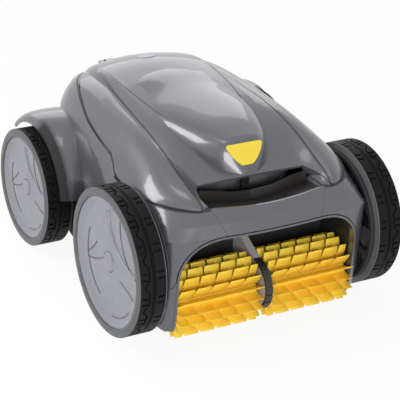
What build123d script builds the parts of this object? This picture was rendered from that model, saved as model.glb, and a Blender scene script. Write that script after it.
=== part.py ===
from build123d import *
from functools import cache
from math import atan2, cos, degrees, pi, radians, sin
import os

# Four-wheel cyclonic pool cleaning robot: every piece of it, one STEP file each.
# X runs across the machine, the brushes face -Y and +Z is up. The origin is on the floor,
# under the middle of the machine. All sizes are in millimetres.

# ---- overall size ---------------------------------------------------------------------------
LENGTH = 480.0
WIDTH = 430.0
WALL = 3.0          # moulded plastic wall
RUNNING = 0.05      # radial play of a shaft in its bearing
PLAY = 0.4          # play between two mouldings that move past each other

# ---- wheels ---------------------------------------------------------------------------------
FRONT_R = 107.0
REAR_R = 90.5
FRONT_AXLE_Y = -LENGTH / 2 + FRONT_R
REAR_AXLE_Y = LENGTH / 2 - REAR_R
TYRE_WIDTH = 44.0
TYRE_DEPTH = 10.5
WHEEL_OUT = WIDTH / 2
WHEEL_IN = WHEEL_OUT - TYRE_WIDTH
RIM_WALL = 3.5
AXLE_R = 6.0

# ---- gears ----------------------------------------------------------------------------------
MODULE = 2.5
PINION_TEETH = 10
FRONT_RING_TEETH = 70
REAR_RING_TEETH = 59
GEAR_IN = WHEEL_IN + 3.0
GEAR_FACE = 9.0
FRONT_MESH = MODULE * (FRONT_RING_TEETH - PINION_TEETH) / 2
REAR_MESH = MODULE * (REAR_RING_TEETH - PINION_TEETH) / 2

# ---- brushes --------------------------------------------------------------------------------
BRUSH_DIRECTION = 226.6                      # from the front axle, in the YZ plane, degrees
BRUSH_Y = FRONT_AXLE_Y + FRONT_MESH * cos(radians(BRUSH_DIRECTION))
BRUSH_Z = FRONT_R + FRONT_MESH * sin(radians(BRUSH_DIRECTION))
BRUSH_TIP_R = 51.0
BRUSH_ROOT_R = 24.0
BRUSH_CORE_R = 20.0
BRUSH_ROWS = 18
PADDLES_PER_ROW = 5
PADDLE_THICK = 1.6
PADDLE_SWEEP = 3.5
PADDLE_SLIT = 3.0
BRUSH_IN = 9.0
BRUSH_OUT = 141.0
BRUSH_SHAFT_R = 5.0
DIVIDER_HALF = 5.5
GUARD_Y, GUARD_Z, GUARD_R = -191.0, 58.0, 38.5

# ---- body -----------------------------------------------------------------------------------
OPENING_HALF = 148.0
OPENING_TOP = 168.0
OPENING_CORNER = 62.0
HOOD_FRONT_Y = -153.0
HINGE_Y = 232.0
HINGE_Z = 238.0


# ---- helpers --------------------------------------------------------------------------------
def mirror_x(shape):
    return mirror(shape, about=Plane.YZ)


def closed_face(*edges):
    return make_face(Wire(list(edges)))


def along_x(radius, x_from, x_to, y, z):
    """A rod along X between two places."""
    rod = Solid.make_cylinder(radius, x_to - x_from, Plane((x_from, y, z), z_dir=(1, 0, 0)))
    return Part(rod.wrapped)


def prism_x(side_outline, x_from, x_to):
    """Extrudes an outline drawn as (y, z) points along X."""
    line = Polyline(*[(x_from, y, z) for y, z in side_outline], close=True)
    return extrude(make_face(line), amount=x_to - x_from, dir=(1, 0, 0))


# ---- outer form of the hood -----------------------------------------------------------------
# Each station: y, flank half-width, crest half-width and height, floor half-width and height.
HOOD_STATIONS = (
    (-214, 112, 103, 189, 92, 181),
    (-200, 134, 108, 208, 90, 198),
    (-183, 153, 111, 217, 88, 206),
    (-160, 170, 112, 224, 87, 210),
    (-130, 175, 113, 232, 84, 220),
    (-90, 169, 113, 241, 84, 234),
    (-45, 165, 112, 247, 86, 247),
    (10, 163, 108, 250, 86, 256),
    (60, 161, 104, 251, 84, 260),
    (110, 158, 97, 252, 82, 262),
    (155, 152, 94, 249, 80, 261),
    (192, 142, 88, 243, 74, 254),
    (222, 124, 80, 233, 66, 242),
    (236, 114, 74, 226, 60, 234),
)
FORM_BASE = 150.0


def hood_section(y, flank, crest_x, crest_z, floor_x, floor_z, crown, skin):
    """Cross-section of the hood: flanks, crests, channels and the floor between them."""
    base = FORM_BASE
    w, cx, cz = flank - skin, crest_x, crest_z - 1.6 * skin
    fx, fz = floor_x + 0.8 * skin, floor_z - skin
    rise = cz - base
    out = (w, base), (w + 1.5, base + 0.62 * rise), (cx + 0.5 * (w - cx), cz + 1.0), (cx, cz)
    channel = (cx, cz), (cx - 0.5 * (cx - fx), cz - 0.75 * (cz - fz)), (fx, fz)

    def at(points, side):
        return [(side * x, y, z) for x, z in points]

    edges = [Bezier(*at(out, 1)), Bezier(*at(channel, 1))]
    edges.append(ThreePointArc((fx, y, fz), (0, y, fz + crown), (-fx, y, fz)))
    edges.append(Bezier(*at(channel[::-1], -1)))
    edges.append(Bezier(*at(out[::-1], -1)))
    edges.append(Line((-w, y, base), (w, y, base)))
    return closed_face(*edges)


@cache
def hood_form(skin):
    sections = []
    for y, *sizes in HOOD_STATIONS:
        crown = 1.0 if y < 0 else 1.0 + 7.0 * min(y, 150) / 150
        sections.append(hood_section(y, *sizes, crown, skin))
    return loft(sections)


# Tongue: y, half-width and height of its foot, height of its crown, fullness of its dome.
TONGUE_STATIONS = (
    (-153.5, 6, 207, 209, 2.6),
    (-150, 15, 209, 215, 2.8),
    (-144, 24, 211, 226, 3.4),
    (-137, 32, 215, 238.5, 3.8),
    (-128, 39, 219, 253, 3.8),
    (-111, 50, 226, 259, 3.6),
    (-80, 63, 236, 264, 3.2),
    (-44, 73, 246, 266.5, 2.8),
    (10, 80, 255, 268, 2.2),
    (60, 81, 259, 268.7, 1.9),
    (110, 78, 260, 268.7, 1.9),
    (160, 70, 258, 267, 1.9),
)


@cache
def tongue_form(skin):
    sections = []
    for y, half, foot, crown, full in TONGUE_STATIONS:
        half, foot, crown = max(half - skin, 2), foot - 12 - skin, crown - skin
        height = crown - foot
        points = []
        for i in range(9):
            u = cos(pi * i / 8)
            points.append((half * u, y, foot + height * (1 - abs(u) ** full) ** (1 / full)))
        sections.append(closed_face(Spline(*points), Line(points[-1], points[0])))
    return loft(sections)


# ---- seam between the hood and the lower body, seen from the side -----------------------------
SEAM = (
    (-260, 203), (-212, 201), (-170, 200), (-130, 198), (-80, 192), (-56, 192),
    (-44, 196), (-34, 204), (-18, 212), (21, 215), (76, 222), (118, 231), (161, 238), (260, 240),
)
SEAM_GAP = 0.7


def seam_region(above, lift=0.0):
    """Everything above, or below, the seam."""
    points = [(-200, y, z + lift) for y, z in SEAM]
    far = 400 if above else -60
    edges = [Spline(*points)]
    edges.append(Polyline(points[-1], (-200, 260, far), (-200, -260, far), points[0]))
    face = make_face(Wire(edges[0].edges() + edges[1].edges()))
    return extrude(face, amount=400, dir=(1, 0, 0))


def recess_region(grow):
    """The room of the carry handle, between the two front points of the hood."""
    half = ((87 + grow, HOOD_FRONT_Y), (93 + grow, -165), (98 + grow, -182), (104 + grow, -204),
            (104 + grow, -260))
    outline = list(half) + [(-x, y) for x, y in reversed(half)]
    return extrude(make_face(Polyline(*outline, close=True)), amount=400)


# ---- outer form of the lower body -------------------------------------------------------------
# Each station: height, front, half-width, rear and how far the front corners are rounded, 0 to 1.
BODY_STATIONS = (
    (24, 225, 160, 220, 0),
    (60, 229, 163, 229, 0),
    (110, 230, 163.5, 233, 0),
    (168, 231, 163.5, 235, 0),
    (184, 223, 163.5, 236, 0.5),
    (200, 209, 163.5, 236.5, 1),
    (246, 168, 163.5, 237, 1),
)


def body_outline(z, front, side, rear, soft):
    """Plan outline of the lower body at one height."""
    corner = (
        (side - 46 - 14 * soft, -front + 8 - 4 * soft), (side - 2 - 22 * soft, -front + 10 - soft),
        (side - 10 * soft, -front + 14 + 25 * soft), (side, -front + 44 + 33 * soft),
    )
    tail = (side, 20), (side, 120), (side - 15, rear - 30), (96, rear - 4)

    def at(points, side_sign):
        return [(side_sign * x, y, z) for x, y in points]

    edges = [ThreePointArc(*at((corner[0],), -1), (0, -front, z), *at((corner[0],), 1))]
    edges.append(Bezier(*at(corner, 1)))
    edges.append(Line(*at((corner[3], tail[0]), 1)))
    edges.append(Bezier(*at(tail, 1)))
    edges.append(ThreePointArc(*at((tail[3],), 1), (0, rear, z), *at((tail[3],), -1)))
    edges.append(Bezier(*at(tail[::-1], -1)))
    edges.append(Line(*at((tail[0], corner[3]), -1)))
    edges.append(Bezier(*at(corner[::-1], -1)))
    return closed_face(*edges)


@cache
def body_block(skin):
    """The lower body before the hood's form trims its top."""
    sections = []
    for z, front, side, rear, soft in BODY_STATIONS:
        stretch = 0 if skin <= 0 else 8 * ((z > 200) - (z < 40))
        sections.append(body_outline(z + stretch, front - skin, side - skin, rear - skin, soft))
    return loft(sections, ruled=True)


@cache
def body_form(skin):
    """The lower body as a solid, or its inside where skin is the wall thickness."""
    low = Pos(0, 0, FORM_BASE + 10 - 200) * Box(400, 600, 400)
    ahead = Pos(0, -350, 200) * Box(400, 600, 500)
    return body_block(skin) & (hood_form(skin) + low + ahead)


def opening_outline(inset):
    """Front view of the mouth round the brushes, drawn at Y = 0."""
    half, top = OPENING_HALF - inset, OPENING_TOP - inset
    corner_x, corner_z = OPENING_CORNER + 10 - inset, OPENING_CORNER - inset
    right = (half, 0, top - corner_z), (half, 0, top - 0.4 * corner_z)
    right += (half - 0.4 * corner_x, 0, top), (half - corner_x, 0, top)
    left = [(-x, y, z) for x, y, z in reversed(right)]
    low = -60.0
    return closed_face(
        Bezier(*right),
        Line(right[3], left[0]),
        Bezier(*left),
        Line(left[3], (-half, 0, low)),
        Line((-half, 0, low), (half, 0, low)),
        Line((half, 0, low), right[0]),
    )


def opening_tunnel(inset, y_from, y_to):
    face = Pos(0, y_from, 0) * opening_outline(inset)
    return extrude(face, amount=y_to - y_from, dir=(0, 1, 0))


# ---- hood ------------------------------------------------------------------------------------
HOOD_REAR_Y = 228.5
LUG_X = 34.0
LUG_HALF = 7.0
BARREL_R = 6.0
HINGE_PIN_R = 2.5
BUTTON_OUT = Vector(0, -27, 14.6).normalized()
BUTTON_CENTRE = Vector(0, -136.0, 238.2)
BUTTON_PLANE = Plane(BUTTON_CENTRE, x_dir=(1, 0, 0), z_dir=BUTTON_OUT)
STEM_R = 5.0


def button_outline(grow):
    """Shield outline of the latch button on its own plane: wide above, rounded below."""
    top, low, half, middle, foot = 15.7 + grow, -16 - grow, 29.8 + grow, 21.4 + grow, 8.5 + grow
    shield = closed_face(
        Line((-half, top), (half, top)),
        ThreePointArc((half, top), (middle, -3.0), (foot, low)),
        Line((foot, low), (-foot, low)),
        ThreePointArc((-foot, low), (-middle, -3.0), (-half, top)),
    )
    return fillet(shield.vertices(), 4.0 + grow)


def on_button(face, start, depth):
    """Extrudes a face of the button plane from start, outwards by depth."""
    return BUTTON_PLANE * Pos(0, 0, start) * extrude(face, amount=depth)


def hinge_barrel(x_from, x_to):
    return along_x(BARREL_R, x_from, x_to, HINGE_Y, HINGE_Z)


def hood():
    outer = hood_form(0) + tongue_form(0)
    inner = hood_form(WALL) + tongue_form(WALL)
    inner -= recess_region(WALL) & Pos(0, HOOD_FRONT_Y - 60, 200) * Box(400, 120, 400)
    inner += Pos(0, HOOD_FRONT_Y, 200 - 5) * Box(160, 20, 10)
    shell = outer - inner
    shell &= seam_region(True, SEAM_GAP)
    shell -= recess_region(0)
    shell -= Pos(0, HOOD_REAR_Y + 50, 240) * Box(400, 100, 200)
    shell += latch_cup(outer)
    shell -= on_button(button_outline(0.5), -10, 40)
    shell -= block(-LEG_HALF - 1.5, LEG_HALF + 1.5, -149, -130, 170, 226) & tongue_form(4)
    for side in (-1, 1):
        x = side * LUG_X
        arm = prism_x(((190, 236), (190, 252), (232, 244), (232, 232)), x - LUG_HALF, x + LUG_HALF)
        arm &= hood_form(0.5)
        root = prism_x(((222, 240), (222, 245), (232, 244), (232, 237)), x - LUG_HALF, x + LUG_HALF)
        shell += arm + root + hinge_barrel(x - LUG_HALF, x + LUG_HALF)
        shell -= along_x(HINGE_PIN_R + RUNNING, x - 20, x + 20, HINGE_Y, HINGE_Z)
    return shell


# ---- lower body -------------------------------------------------------------------------------
FENDER_GAP = 8.0
FENDER_FROM = 44.0
FENDER_TO = 168.0
SHAFT_HOLE_R = 9.0
OUTLET_Z = 92.0
OUTLET_R = 44.0
REAR_HALF = 92.0
FOOT_TOP = 95.0
FOOT_BACK = -196.0
TRIM_GAP, TRIM_IN, TRIM_DEEP = 1.3, 4.4, 9.0
BROW_HALF, BROW_Z, BROW_SAG = 104.0, 203.5, 6.5
CABLE_X, CABLE_Z, CABLE_R = -62.0, 178.0, 4.2


def at_angle(y, z, radius, angle):
    """Point round an axle along X: 0 degrees is +Y, 90 is up."""
    return y + radius * cos(radians(angle)), z + radius * sin(radians(angle))


FRONT_DRIVE_Y, FRONT_DRIVE_Z = at_angle(FRONT_AXLE_Y, FRONT_R, FRONT_MESH, -14.0)
REAR_DRIVE_Y, REAR_DRIVE_Z = at_angle(REAR_AXLE_Y, REAR_R, REAR_MESH, 184.0)


def fender():
    """Arch over the left rear wheel, still crossing the inside of the body."""
    top = REAR_R + REAR_R + FENDER_GAP

    def at(*points):
        return [(x, REAR_AXLE_Y, top + rise) for x, rise in points]

    lip_out, lip_in, inner = (-197, 0), (-194, 0), (-100, 8)
    profile = closed_face(
        Bezier(*at((-100, 11), (-150, 17), (-200, 20), lip_out)),
        Line(*at(lip_out, lip_in)),
        Bezier(*at(lip_in, (-196, 16), (-150, 14), inner)),
        Line(*at(inner, (-100, 11))),
    )
    axle = Axis((0, REAR_AXLE_Y, REAR_R), (1, 0, 0))
    arc = FENDER_TO - FENDER_FROM
    return revolve(profile.rotate(axle, FENDER_FROM - 90), axis=axle, revolution_arc=arc)


def shaft_holes():
    """Clear holes in both flanks for axles, drive shafts and brush shafts."""
    holes = Part()
    places = (
        (FRONT_AXLE_Y, FRONT_R, 18), (REAR_AXLE_Y, REAR_R, 18), (BRUSH_Y, BRUSH_Z, SHAFT_HOLE_R),
        (FRONT_DRIVE_Y, FRONT_DRIVE_Z, SHAFT_HOLE_R), (REAR_DRIVE_Y, REAR_DRIVE_Z, SHAFT_HOLE_R),
    )
    for y, z, radius in places:
        holes += along_x(radius, -180, 180, y, z)
    return holes


def along_y(radius, y_from, y_to, x, z):
    """A rod along Y between two places."""
    rod = Solid.make_cylinder(radius, y_to - y_from, Plane((x, y_from, z), z_dir=(0, 1, 0)))
    return Part(rod.wrapped)


def along_z(radius, z_from, z_to, x, y):
    """A rod along Z between two places."""
    rod = Solid.make_cylinder(radius, z_to - z_from, Plane((x, y, z_from), z_dir=(0, 0, 1)))
    return Part(rod.wrapped)


def block(x_from, x_to, y_from, y_to, z_from, z_to):
    """A straight block between limits, for cutting and for short lugs."""
    centre = Pos((x_from + x_to) / 2, (y_from + y_to) / 2, (z_from + z_to) / 2)
    return centre * Box(x_to - x_from, y_to - y_from, z_to - z_from)


def panel_region(grow):
    """Front view of the bumper panel: slanted sides, wider above."""
    half = [(67.1 + grow, 150), (95.3 + grow, 206)]
    outline = [(x, -260, z) for x, z in half] + [(-x, -260, z) for x, z in reversed(half)]
    return extrude(make_face(Polyline(*outline, close=True)), amount=70, dir=(0, 1, 0))


def foot_region(gap):
    """Front view of the left foot beside the brushes, with the hollow corner of its seam."""
    outline = (
        (-170, 20), (-170, FOOT_TOP + gap), (-156, FOOT_TOP + gap), (-151 - gap, FOOT_TOP + 2 + gap),
        (-148 - gap, FOOT_TOP + 9 + gap), (-120, FOOT_TOP + 9 + gap), (-120, 20),
    )
    face = make_face(Polyline(*[(x, -260, z) for x, z in outline], close=True))
    return extrude(face, amount=260 + FOOT_BACK + gap, dir=(0, 1, 0))


def mouth_trim():
    """Frame round the brushes: a thin arch between two feet that end the body below."""
    front = body_block(-0.8) - body_block(TRIM_DEEP)
    arch = (opening_tunnel(TRIM_GAP, -240, -150) - opening_tunnel(TRIM_IN, -241, -149)) & front
    arch -= block(-200, 200, -260, -100, -100, 26)
    foot = (body_form(0) - body_form(WALL)) & foot_region(0)
    foot -= opening_tunnel(TRIM_IN, -260, -100)
    foot -= shaft_holes()
    return arch + foot + mirror_x(foot)


def brow_region():
    """Everything above the curved top edge of the front wall, between the hood's points."""
    ends = (-BROW_HALF, -260, BROW_Z), (BROW_HALF, -260, BROW_Z)
    above = (BROW_HALF, -260, 240), (-BROW_HALF, -260, 240)
    face = closed_face(
        ThreePointArc(ends[0], (0, -260, BROW_Z - BROW_SAG), ends[1]),
        Line(ends[1], above[0]),
        Line(above[0], above[1]),
        Line(above[1], ends[0]),
    )
    return extrude(face, amount=70, dir=(0, 1, 0))


def cheek():
    """Raised shoulder of the left shell between the carry handle and the hood's front point."""
    outline = (-88.6, 184), (-88.6, 196), (-98, 208), (-104, 209), (-104, 184)
    face = make_face(Polyline(*[(x, -206, z) for x, z in outline], close=True))
    solid = extrude(face, amount=42, dir=(0, 1, 0)) & recess_region(-0.6) & hood_form(0.6)
    return solid - (panel_region(0) & block(-200, 200, -260, -201, 100, 260))


def body_shells():
    """The wall of the lower body as left side, right side, rear and front panel."""
    inside = body_form(WALL)
    wall = (body_form(0) - inside) & seam_region(False)
    wall -= opening_tunnel(0, -260, -150)
    wall -= foot_region(SEAM_GAP) + mirror_x(foot_region(SEAM_GAP))
    wall -= brow_region()
    arch = fender() - inside
    wall += arch + mirror_x(arch)
    wall -= shaft_holes()
    wall -= along_y(OUTLET_R + PLAY, 180, 260, 0, OUTLET_Z)
    wall -= along_y(CABLE_R + 3.8, 180, 260, CABLE_X, CABLE_Z)
    for side in (-1, 1):
        x = side * LUG_X
        wall -= block(x - LUG_HALF - 8.5, x + LUG_HALF + 8.5, 222, 260, HINGE_Z - 10, 260)
        wall -= block(x - LUG_HALF - 0.6, x + LUG_HALF + 0.6, 204, 223, HINGE_Z - 7, 260)
    front = wall & panel_region(-0.3)
    wall -= panel_region(0)
    rear = wall & block(-REAR_HALF + 0.2, REAR_HALF - 0.2, 150, 260, 0, 260)
    wall -= block(-REAR_HALF, REAR_HALF, 150, 260, 0, 260)
    left = (wall & block(-260, 0, -260, 260, 0, 260)) + cheek()
    right = (wall & block(0, 260, -260, 260, 0, 260)) + mirror_x(cheek())
    return left, right, rear, front


def rear_shell_with_hinge(rear):
    """Rear wall with the forked brackets that hold the hinge pins."""
    for side in (-1, 1):
        for lean in (-1, 1):
            near = side * LUG_X + lean * (LUG_HALF + PLAY)
            far = near + lean * 7.5
            low, high = min(near, far), max(near, far)
            arm = prism_x(((226, 216), (233, 216), (238, 236), (238, 241), (228, 241), (226, 232)),
                          low, high)
            rear += arm
        rear -= along_x(HINGE_PIN_R, side * LUG_X - 20, side * LUG_X + 20, HINGE_Y, HINGE_Z)
    return rear


# ---- wheels ----------------------------------------------------------------------------------
def ring_teeth(teeth, pitch_r, root_r, tip_r, gap_share):
    """Outline of a ring of straight-flanked teeth; gap_share is the gap at the pitch circle."""
    pitch = 360 / teeth
    lean = degrees(MODULE * 0.36 / pitch_r)
    points = []
    for i in range(teeth):
        middle = i * pitch
        half_gap = pitch * gap_share / 2
        for radius, angle in (
            (tip_r, middle - half_gap - lean), (root_r, middle - half_gap + lean),
            (root_r, middle + half_gap - lean), (tip_r, middle + half_gap + lean),
        ):
            points.append((radius * cos(radians(angle)), radius * sin(radians(angle))))
    return Polyline(*points, close=True)


def disc_x(face, x_from, x_to):
    """Extrudes a face drawn in the plane across an axle, local X to +Y and local Y to +Z."""
    plane = Plane((x_from, 0, 0), x_dir=(0, 1, 0), z_dir=(1, 0, 0))
    return extrude(plane * face, amount=x_to - x_from)


def turned(points):
    """Revolves a profile of (x, radius) points about the X axis."""
    face = make_face(Polyline(*[(x, r, 0) for x, r in points], close=True))
    return revolve(face, axis=Axis.X)


def wheel_hub(radius, ring_count):
    """Rim, web, boss and internal gear ring, on the left side of the machine."""
    rim_r = radius - TYRE_DEPTH
    x_in, x_web, x_out = -WHEEL_IN + 3, -WHEEL_OUT + 17, -WHEEL_OUT + 8
    hub = turned((
        (x_out, rim_r - 10), (x_out, rim_r), (x_in, rim_r), (x_in + 1.5, rim_r + 2.5),
        (x_in + 3, rim_r + 2.5), (x_in + 3, rim_r - RIM_WALL), (x_web + 3, rim_r - RIM_WALL),
        (x_web + 3, 15), (x_in - 6, 15), (x_in - 6, AXLE_R + RUNNING), (x_out + 4, AXLE_R + RUNNING),
        (x_out + 4, 17), (x_web, 17), (x_web, rim_r - 10),
    ))
    pitch_r = MODULE * ring_count / 2
    hole = make_face(ring_teeth(ring_count, pitch_r, pitch_r + MODULE * 1.25,
                                pitch_r - MODULE * 0.9, 0.56))
    gear = Face(Wire(Edge.make_circle(rim_r - RIM_WALL + 0.01))) - hole
    hub += disc_x(gear, -GEAR_IN - GEAR_FACE, -GEAR_IN)
    hub -= disc_x(hole - Circle(pitch_r * 0.8), -GEAR_IN - GEAR_FACE, -GEAR_IN)
    lightening = disc_x(Pos(rim_r * 0.52, 0) * Circle(rim_r * 0.19), x_web - 5, x_web + 8)
    for i in range(6):
        hub -= lightening.rotate(Axis.X, 30 + 60 * i)
    return hub


def tyre(radius):
    """Rubber tread band with a flat face, centre grooves and rounded shoulders."""
    inner = radius - TYRE_DEPTH
    out, back = -WHEEL_OUT, -WHEEL_IN
    profile = (
        (out + 3, inner), (out + 0.6, inner + 3), (out, inner + 7), (out + 2, radius - 1.6),
        (out + 5, radius), (out + 14, radius), (out + 14.6, radius - 2), (out + 16.4, radius - 2),
        (out + 17, radius), (out + 27, radius), (out + 27.6, radius - 2), (out + 29.4, radius - 2),
        (out + 30, radius), (back - 5, radius), (back - 2, radius - 1.6), (back, inner + 7),
        (back - 0.6, inner + 3), (back - 3, inner),
    )
    return turned(profile)


def hubcap(radius):
    """Dished outer cover with a raised boss."""
    edge = radius - TYRE_DEPTH - 1.2
    face_x = -WHEEL_OUT + 2.5
    return turned((
        (face_x + 2.5, 0), (face_x + 1.0, 9), (face_x + 2.5, 14), (face_x + 4.5, edge * 0.45),
        (face_x + 3.0, edge * 0.8), (face_x, edge - 3), (face_x + 1.2, edge), (face_x + 5.4, edge),
        (face_x + 5.4, edge - 2), (face_x + 4, edge - 3), (face_x + 5.4, edge * 0.8),
        (face_x + 7, edge * 0.45), (face_x + 5.2, 14), (face_x + 5.2, 0),
    ))


def pinion_gear():
    """Ten-tooth pinion on the left, centred on the X axis."""
    pitch_r = MODULE * PINION_TEETH / 2
    outline = ring_teeth(PINION_TEETH, pitch_r, pitch_r - MODULE * 1.15, pitch_r + MODULE * 0.8, 0.58)
    return disc_x(make_face(outline), -GEAR_IN - GEAR_FACE, -GEAR_IN)


def drive_pinion():
    """Pinion and the shaft that comes out of the gear case."""
    return pinion_gear() + along_x(4, -GEAR_IN, -130, 0, 0)


# ---- brushes ----------------------------------------------------------------------------------
def brush_sleeve():
    """Elastomer sleeve on the left with rows of slit, swept-back lamellae."""
    length = BRUSH_OUT - BRUSH_IN
    sleeve = disc_x(Circle(BRUSH_ROOT_R) - Circle(BRUSH_CORE_R), -BRUSH_OUT, -BRUSH_IN)
    pitch = length / PADDLES_PER_ROW
    root, tip = BRUSH_ROOT_R - 1.5, BRUSH_TIP_R - 1
    blade = make_face(Polyline(
        (root, -PADDLE_THICK * 0.8), (tip, -PADDLE_THICK / 2 - PADDLE_SWEEP),
        (tip, PADDLE_THICK / 2 - PADDLE_SWEEP), (root, PADDLE_THICK * 0.8), close=True))
    row = disc_x(blade, -BRUSH_OUT, -BRUSH_IN)
    wedge = Polyline((0, BRUSH_ROOT_R + 5), (PADDLE_SLIT, 2 * tip - BRUSH_ROOT_R - 5),
                     (-PADDLE_SLIT, 2 * tip - BRUSH_ROOT_R - 5), close=True)
    slit = extrude(make_face(wedge), amount=20, both=True)
    for stagger in (0, 1):
        cut_row = row
        for i in range(PADDLES_PER_ROW - 1 + stagger):
            cut_row -= Pos(-BRUSH_OUT + pitch * (i + 1 - 0.5 * stagger), 0, 0) * slit
        for i in range(stagger, BRUSH_ROWS, 2):
            sleeve += cut_row.rotate(Axis.X, 360 / BRUSH_ROWS * i)
    return sleeve


def brush_core():
    """Stiff roller on the left: tube, closed ends and the shaft that carries its pinion."""
    core = disc_x(Circle(BRUSH_CORE_R), -BRUSH_OUT, -BRUSH_IN)
    core -= disc_x(Circle(BRUSH_CORE_R - 3), -BRUSH_OUT + 4, -BRUSH_IN - 4)
    core += along_x(BRUSH_SHAFT_R, -GEAR_IN, -DIVIDER_HALF + 2.5, 0, 0)
    return core


def brush_pinion():
    """Pinion that the front wheel's ring drives, pressed on the end of the brush shaft."""
    return pinion_gear()


def divider_arm(half):
    """Arm from the back wall of the housing, between the rollers, down to the guard."""
    outline = (
        (HOUSING_BACK - 3, 124), (-152, 111.5), (-201, 90.5), (GUARD_Y, GUARD_Z), (-164, 56),
        (HOUSING_BACK - 3, 84),
    )
    return prism_x(outline, -half, half)


def brush_divider():
    """Arm and disc between the rollers; the disc holds both inner shaft ends."""
    arm = divider_arm(DIVIDER_HALF)
    arm += along_x(GUARD_R - 4, -DIVIDER_HALF, DIVIDER_HALF, GUARD_Y, GUARD_Z)
    return arm - along_x(BRUSH_SHAFT_R + RUNNING, -9, 9, BRUSH_Y, BRUSH_Z)


def divider_ring():
    """Notched black guard ring round the rim of the divider."""
    ring = disc_x(Circle(GUARD_R) - Circle(GUARD_R - 4), -DIVIDER_HALF, DIVIDER_HALF)
    notch = block(-9, 9, GUARD_R - 1.4, GUARD_R + 4, -1.5, 1.5)
    for i in range(18):
        ring -= notch.rotate(Axis.X, 20 * i)
    return Pos(0, GUARD_Y, GUARD_Z) * ring - divider_arm(9)


HOUSING_BACK = -127.0
MOUTH_HALF = 78.0
MOUTH_LOW = 34.0


def brush_housing():
    """Dark tunnel round and behind the rollers, with their outer bearings."""
    tunnel = opening_tunnel(0.3, -240, HOUSING_BACK) - opening_tunnel(3.0, -241, HOUSING_BACK - 3)
    tunnel &= body_block(TRIM_DEEP + 0.3) + block(-150, 150, -190, -100, 20, 180)
    tunnel -= block(-200, 200, -300, 0, -100, 26)
    for side in (-1, 1):
        low, high = sorted((side * 142.5, side * 147.7))
        tunnel += along_x(12, low, high, BRUSH_Y, BRUSH_Z)
        tunnel -= along_x(BRUSH_SHAFT_R + RUNNING, side * 145 - 9, side * 145 + 9, BRUSH_Y, BRUSH_Z)
        low, high = sorted((side * 146.1, side * 148))
        tunnel -= along_x(10.4, low, high, FRONT_AXLE_Y, FRONT_R)
    tunnel -= block(-MOUTH_HALF, MOUTH_HALF, HOUSING_BACK - 9, HOUSING_BACK + 9, MOUTH_LOW, 62)
    return tunnel


# ---- chassis ----------------------------------------------------------------------------------
FRAME_IN, FRAME_OUT = 149.0, 153.0
DECK_Z = 30.0
DECK_THICK = 4.0
NECK_Y, NECK_R = -74.0, 28.0


def side_frame():
    """Left side plate that carries the axles and drive shafts."""
    outline = (
        (-166, 34), (-166, 112), (-152, 128), (-112, 128), (-90, 96), (70, 84), (128, 116),
        (172, 116), (186, 96), (186, 34),
    )
    plate = prism_x(outline, -FRAME_OUT, -FRAME_IN)
    plate &= body_form(WALL + PLAY)
    for y, z in ((FRONT_AXLE_Y, FRONT_R), (REAR_AXLE_Y, REAR_R)):
        plate += along_x(14, -159, -FRAME_IN, y, z)
        plate -= along_x(AXLE_R, -200, -100, y, z)
    for y, z in ((FRONT_DRIVE_Y, FRONT_DRIVE_Z), (REAR_DRIVE_Y, REAR_DRIVE_Z)):
        plate += along_x(8, -159, -FRAME_IN, y, z)
        plate -= along_x(4 + RUNNING, -200, -100, y, z)
    return plate


def axle_pin(y, z):
    """Stub axle with an inner flange and an outer groove collar, on the left."""
    pin = along_x(AXLE_R, -WHEEL_OUT + 11, -FRAME_IN, y, z)
    pin += along_x(10, -FRAME_IN, -FRAME_IN + 2.5, y, z)
    return pin + along_x(9, -WHEEL_OUT + 9.2, -WHEEL_OUT + 11.8, y, z)


def lower_chassis():
    """Floor deck with a raised rim, suction mouth and mounting lugs."""
    deck = body_form(WALL + PLAY) & block(-FRAME_IN, FRAME_IN, HOUSING_BACK + 0.3, 226, DECK_Z, 58)
    hollow = body_form(2 * WALL + PLAY) & block(-145.6, 145.6, HOUSING_BACK + 3.3, 223,
                                                DECK_Z + DECK_THICK, 80)
    deck -= hollow
    deck -= block(-MOUTH_HALF, MOUTH_HALF, HOUSING_BACK - 9, HOUSING_BACK + 9, MOUTH_LOW, 80)
    for y in (-30, 30, 90, 150):
        rib = block(-146, 146, y - 1.5, y + 1.5, DECK_Z + DECK_THICK - 0.5, DECK_Z + DECK_THICK + 3)
        deck += rib & body_form(WALL + PLAY)
    return deck - along_y(OUTLET_R + PLAY, 180, 260, 0, OUTLET_Z)


def neck_duct(inset):
    """Bent duct from the slot behind the brushes up to a round neck."""
    half, high = MOUTH_HALF - 0.5 - inset, 14 - inset
    slot_plane = Plane((0, HOUSING_BACK + 3.3, 48), x_dir=(1, 0, 0), z_dir=(0, 1, 0))
    mid_plane = Plane((0, -94, 66), x_dir=(1, 0, 0), z_dir=(0, 0.75, 0.66))
    top_plane = Plane((0, NECK_Y, 100), x_dir=(1, 0, 0), z_dir=(0, 0, 1))
    return loft([
        slot_plane * RectangleRounded(2 * half, 2 * high, 5),
        mid_plane * RectangleRounded(1.45 * half, 2.3 * high, 10),
        top_plane * RectangleRounded(2 * NECK_R - 1.6 - 2 * inset, 2 * NECK_R - 1.6 - 2 * inset,
                                     NECK_R - 1 - inset),
    ], ruled=True)


def suction_neck():
    """Funnel from the mouth behind the brushes up into the filter basket."""
    neck = neck_duct(0) - neck_duct(2.5)
    tube = along_z(NECK_R - 1.3, 98.5, 134, 0, NECK_Y) - along_z(NECK_R - 3.8, 90, 140, 0, NECK_Y)
    for side in (-1, 1):
        x = side * 12
        tube += block(x - 3, x + 3, FLAP_Y - 8, FLAP_Y + 3.5, 126, 134)
        tube += block(x - 3, x + 3, FLAP_Y - 3, FLAP_Y + 3.5, 133, FLAP_Z + 3)
    return neck + tube - along_x(1.5, -20, 20, FLAP_Y, FLAP_Z)


FLAP_Y = NECK_Y + NECK_R + 2.5
FLAP_Z = 137.0


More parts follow.
